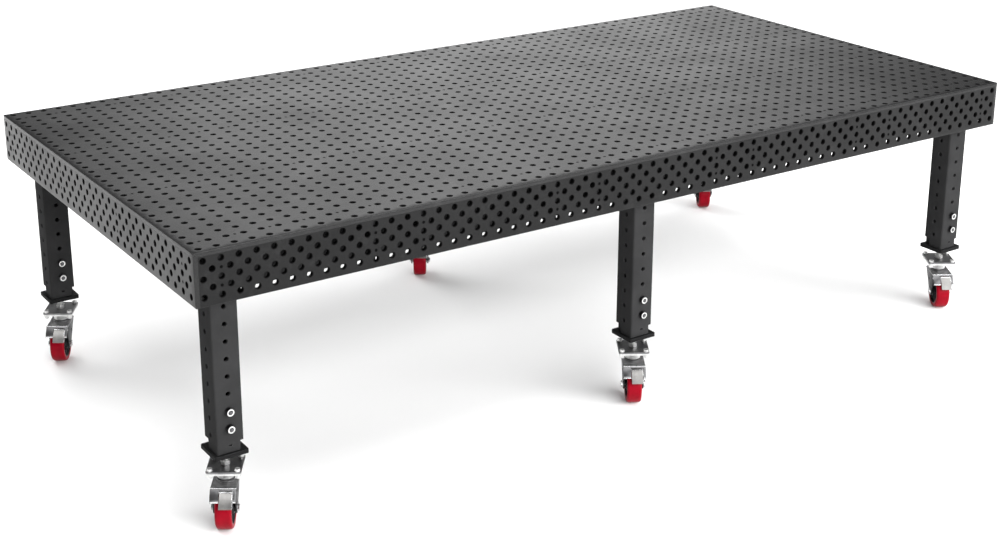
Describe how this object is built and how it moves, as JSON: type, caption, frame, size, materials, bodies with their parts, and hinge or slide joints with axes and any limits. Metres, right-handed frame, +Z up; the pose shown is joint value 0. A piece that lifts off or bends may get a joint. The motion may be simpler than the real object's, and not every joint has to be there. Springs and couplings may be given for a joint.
{
  "type": "welding table",
  "caption": "Perforated steel welding table: ribbed plate box on height-adjustable square legs, each with a levelling swivel castor and a brake pedal.",
  "frame": {"origin": "on the floor, under the middle of the table top", "axes": "+X along the length of the top, +Y across it towards the back, +Z up; the legs show their nuts towards -Y"},
  "size_m": [3, 1.5, 0.83],
  "materials": {
    "top_steel": "ground and oiled",
    "side_steel": "ground and oiled",
    "rib_steel": "laser cut, as rolled",
    "black_coat": "powder coat, fine texture",
    "foot_black": "powder coat",
    "zinc": "zinc plated",
    "red_tread": "smooth polyurethane",
    "pedal_zinc": "zinc plated, pressed"
  },
  "bodies": {
    "table": {"top_plate": "top_steel", "side_plate_front": "side_steel", "side_plate_back": "side_steel", "end_plate_left": "side_steel", "end_plate_right": "side_steel", "long_rib_1": "rib_steel", "long_rib_2": "rib_steel", "long_rib_3": "rib_steel", "long_rib_4": "rib_steel", "cross_rib_01": "rib_steel", "cross_rib_02": "rib_steel", "cross_rib_03": "rib_steel", "cross_rib_04": "rib_steel", "cross_rib_05": "rib_steel", "cross_rib_06": "rib_steel", "cross_rib_07": "rib_steel", "cross_rib_08": "rib_steel", "cross_rib_09": "rib_steel", "cross_rib_10": "rib_steel", "leg_front_left": "black_coat", "leg_front_middle": "black_coat", "leg_front_right": "black_coat", "leg_back_left": "black_coat", "leg_back_middle": "black_coat", "leg_back_right": "black_coat"},
    "foot_front_left": {"foot_front_left": "foot_black"},
    "castor_head_front_left": {"castor_head_front_left": "zinc"},
    "fork_front_left": {"fork_front_left": "zinc"},
    "wheel_front_left": {"wheel_front_left": "red_tread"},
    "brake_pedal_front_left": {"brake_pedal_front_left": "pedal_zinc"},
    "foot_front_middle": {"foot_front_middle": "foot_black"},
    "castor_head_front_middle": {"castor_head_front_middle": "zinc"},
    "fork_front_middle": {"fork_front_middle": "zinc"},
    "wheel_front_middle": {"wheel_front_middle": "red_tread"},
    "brake_pedal_front_middle": {"brake_pedal_front_middle": "pedal_zinc"},
    "foot_front_right": {"foot_front_right": "foot_black"},
    "castor_head_front_right": {"castor_head_front_right": "zinc"},
    "fork_front_right": {"fork_front_right": "zinc"},
    "wheel_front_right": {"wheel_front_right": "red_tread"},
    "brake_pedal_front_right": {"brake_pedal_front_right": "pedal_zinc"},
    "foot_back_left": {"foot_back_left": "foot_black"},
    "castor_head_back_left": {"castor_head_back_left": "zinc"},
    "fork_back_left": {"fork_back_left": "zinc"},
    "wheel_back_left": {"wheel_back_left": "red_tread"},
    "brake_pedal_back_left": {"brake_pedal_back_left": "pedal_zinc"},
    "foot_back_middle": {"foot_back_middle": "foot_black"},
    "castor_head_back_middle": {"castor_head_back_middle": "zinc"},
    "fork_back_middle": {"fork_back_middle": "zinc"},
    "wheel_back_middle": {"wheel_back_middle": "red_tread"},
    "brake_pedal_back_middle": {"brake_pedal_back_middle": "pedal_zinc"},
    "foot_back_right": {"foot_back_right": "foot_black"},
    "castor_head_back_right": {"castor_head_back_right": "zinc"},
    "fork_back_right": {"fork_back_right": "zinc"},
    "wheel_back_right": {"wheel_back_right": "red_tread"},
    "brake_pedal_back_right": {"brake_pedal_back_right": "pedal_zinc"}
  },
  "joints": [
    {"name": "height_front_left", "type": "slide", "parent": "table", "child": "foot_front_left", "axis": [0, 0, -1], "range_m": [0, 0.1]},
    {"name": "levelling_front_left", "type": "slide", "parent": "foot_front_left", "child": "castor_head_front_left", "axis": [0, 0, -1], "range_m": [0, 0.02]},
    {"name": "swivel_front_left", "type": "hinge", "parent": "castor_head_front_left", "child": "fork_front_left", "pos_m": [-1.3975, -0.6475, 0.13], "axis": [0, 0, 1], "continuous": true},
    {"name": "wheel_spin_front_left", "type": "hinge", "parent": "fork_front_left", "child": "wheel_front_left", "pos_m": [-1.41797, -0.67951, 0.058], "axis": [0.8425, -0.5388, 0], "continuous": true},
    {"name": "brake_front_left", "type": "hinge", "parent": "fork_front_left", "child": "brake_pedal_front_left", "pos_m": [-1.4336, -0.70394, 0.1175], "axis": [0.8425, -0.5388, 0], "range_deg": [0, 10]},
    {"name": "height_front_middle", "type": "slide", "parent": "table", "child": "foot_front_middle", "axis": [0, 0, -1], "range_m": [0, 0.1]},
    {"name": "levelling_front_middle", "type": "slide", "parent": "foot_front_middle", "child": "castor_head_front_middle", "axis": [0, 0, -1], "range_m": [0, 0.02]},
    {"name": "swivel_front_middle", "type": "hinge", "parent": "castor_head_front_middle", "child": "fork_front_middle", "pos_m": [0, -0.6475, 0.13], "axis": [0, 0, 1], "continuous": true},
    {"name": "wheel_spin_front_middle", "type": "hinge", "parent": "fork_front_middle", "child": "wheel_front_middle", "pos_m": [-0.02047, -0.67951, 0.058], "axis": [0.8425, -0.5388, 0], "continuous": true},
    {"name": "brake_front_middle", "type": "hinge", "parent": "fork_front_middle", "child": "brake_pedal_front_middle", "pos_m": [-0.0361, -0.70394, 0.1175], "axis": [0.8425, -0.5388, 0], "range_deg": [0, 10]},
    {"name": "height_front_right", "type": "slide", "parent": "table", "child": "foot_front_right", "axis": [0, 0, -1], "range_m": [0, 0.1]},
    {"name": "levelling_front_right", "type": "slide", "parent": "foot_front_right", "child": "castor_head_front_right", "axis": [0, 0, -1], "range_m": [0, 0.02]},
    {"name": "swivel_front_right", "type": "hinge", "parent": "castor_head_front_right", "child": "fork_front_right", "pos_m": [1.3975, -0.6475, 0.13], "axis": [0, 0, 1], "continuous": true},
    {"name": "wheel_spin_front_right", "type": "hinge", "parent": "fork_front_right", "child": "wheel_front_right", "pos_m": [1.37703, -0.67951, 0.058], "axis": [0.8425, -0.5388, 0], "continuous": true},
    {"name": "brake_front_right", "type": "hinge", "parent": "fork_front_right", "child": "brake_pedal_front_right", "pos_m": [1.3614, -0.70394, 0.1175], "axis": [0.8425, -0.5388, 0], "range_deg": [0, 10]},
    {"name": "height_back_left", "type": "slide", "parent": "table", "child": "foot_back_left", "axis": [0, 0, -1], "range_m": [0, 0.1]},
    {"name": "levelling_back_left", "type": "slide", "parent": "foot_back_left", "child": "castor_head_back_left", "axis": [0, 0, -1], "range_m": [0, 0.02]},
    {"name": "swivel_back_left", "type": "hinge", "parent": "castor_head_back_left", "child": "fork_back_left", "pos_m": [-1.3975, 0.6475, 0.13], "axis": [0, 0, 1], "continuous": true},
    {"name": "wheel_spin_back_left", "type": "hinge", "parent": "fork_back_left", "child": "wheel_back_left", "pos_m": [-1.41797, 0.61549, 0.058], "axis": [0.8425, -0.5388, 0], "continuous": true},
    {"name": "brake_back_left", "type": "hinge", "parent": "fork_back_left", "child": "brake_pedal_back_left", "pos_m": [-1.4336, 0.59106, 0.1175], "axis": [0.8425, -0.5388, 0], "range_deg": [0, 10]},
    {"name": "height_back_middle", "type": "slide", "parent": "table", "child": "foot_back_middle", "axis": [0, 0, -1], "range_m": [0, 0.1]},
    {"name": "levelling_back_middle", "type": "slide", "parent": "foot_back_middle", "child": "castor_head_back_middle", "axis": [0, 0, -1], "range_m": [0, 0.02]},
    {"name": "swivel_back_middle", "type": "hinge", "parent": "castor_head_back_middle", "child": "fork_back_middle", "pos_m": [0, 0.6475, 0.13], "axis": [0, 0, 1], "continuous": true},
    {"name": "wheel_spin_back_middle", "type": "hinge", "parent": "fork_back_middle", "child": "wheel_back_middle", "pos_m": [-0.02047, 0.61549, 0.058], "axis": [0.8425, -0.5388, 0], "continuous": true},
    {"name": "brake_back_middle", "type": "hinge", "parent": "fork_back_middle", "child": "brake_pedal_back_middle", "pos_m": [-0.0361, 0.59106, 0.1175], "axis": [0.8425, -0.5388, 0], "range_deg": [0, 10]},
    {"name": "height_back_right", "type": "slide", "parent": "table", "child": "foot_back_right", "axis": [0, 0, -1], "range_m": [0, 0.1]},
    {"name": "levelling_back_right", "type": "slide", "parent": "foot_back_right", "child": "castor_head_back_right", "axis": [0, 0, -1], "range_m": [0, 0.02]},
    {"name": "swivel_back_right", "type": "hinge", "parent": "castor_head_back_right", "child": "fork_back_right", "pos_m": [1.3975, 0.6475, 0.13], "axis": [0, 0, 1], "continuous": true},
    {"name": "wheel_spin_back_right", "type": "hinge", "parent": "fork_back_right", "child": "wheel_back_right", "pos_m": [1.37703, 0.61549, 0.058], "axis": [0.8425, -0.5388, 0], "continuous": true},
    {"name": "brake_back_right", "type": "hinge", "parent": "fork_back_right", "child": "brake_pedal_back_right", "pos_m": [1.3614, 0.59106, 0.1175], "axis": [0.8425, -0.5388, 0], "range_deg": [0, 10]}
  ]
}
